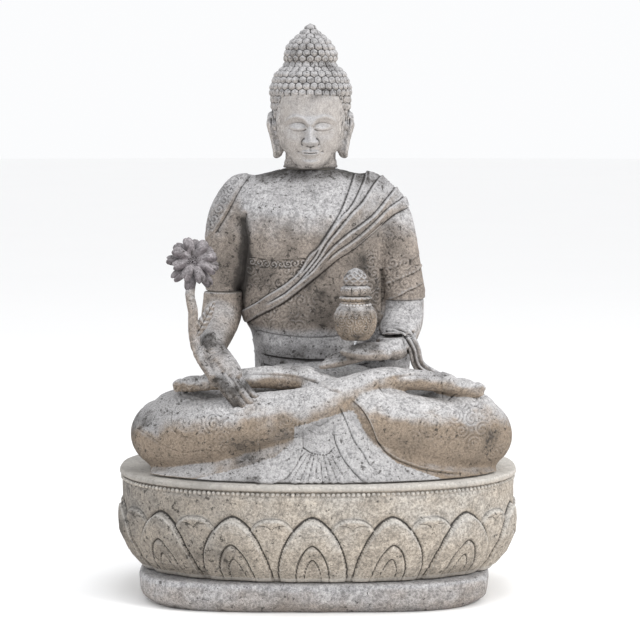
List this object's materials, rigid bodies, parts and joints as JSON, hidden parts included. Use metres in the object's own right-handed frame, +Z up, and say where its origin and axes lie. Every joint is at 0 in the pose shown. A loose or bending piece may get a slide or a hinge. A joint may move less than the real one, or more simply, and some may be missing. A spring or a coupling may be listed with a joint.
{
  "type": "buddha statue",
  "caption": "Weathered carved stone buddha seated cross-legged on a lotus pedestal, holding a flower stem in the lowered right hand and a covered medicine jar in the left.",
  "frame": {"origin": "middle of the underside of the foot plinth's bounding rectangle, on the ground", "axes": "+Z up, the figure faces -Y, +X is the figure's own left"},
  "size_m": [1.0554, 0.7236, 1.5],
  "materials": {
    "sheltered_stone": "matte, weathered, beige with dark lichen specks",
    "rain_washed_stone": "matte, weathered, cool grey with black lichen",
    "plum_grey_stone": "matte, weathered, plum grey",
    "mortar": "matte, sandy",
    "dowel_steel": "plain drawn bar"
  },
  "bodies": {
    "root": {"foot_plinth": "rain_washed_stone", "plinth_mortar_bed": "mortar", "plinth_dowels": "dowel_steel", "lotus_pedestal": "sheltered_stone", "seat_mortar_bed": "mortar", "seat_dowels": "dowel_steel", "crossed_legs": "sheltered_stone", "waist_mortar_bed": "mortar", "waist_dowels": "dowel_steel", "torso": "rain_washed_stone", "neck_mortar_bed": "mortar", "neck_dowel": "dowel_steel", "head": "sheltered_stone", "right_elbow_mortar": "mortar", "right_elbow_dowel": "dowel_steel", "right_forearm": "rain_washed_stone", "left_elbow_mortar": "mortar", "left_elbow_dowel": "dowel_steel", "left_forearm": "rain_washed_stone", "flower_stem": "rain_washed_stone", "stem_pin": "dowel_steel", "flower_head": "plum_grey_stone", "flower_pin": "dowel_steel", "medicine_jar": "sheltered_stone", "jar_pin": "dowel_steel", "jar_lid": "rain_washed_stone", "lid_pin": "dowel_steel"}
  },
  "joints": []
}
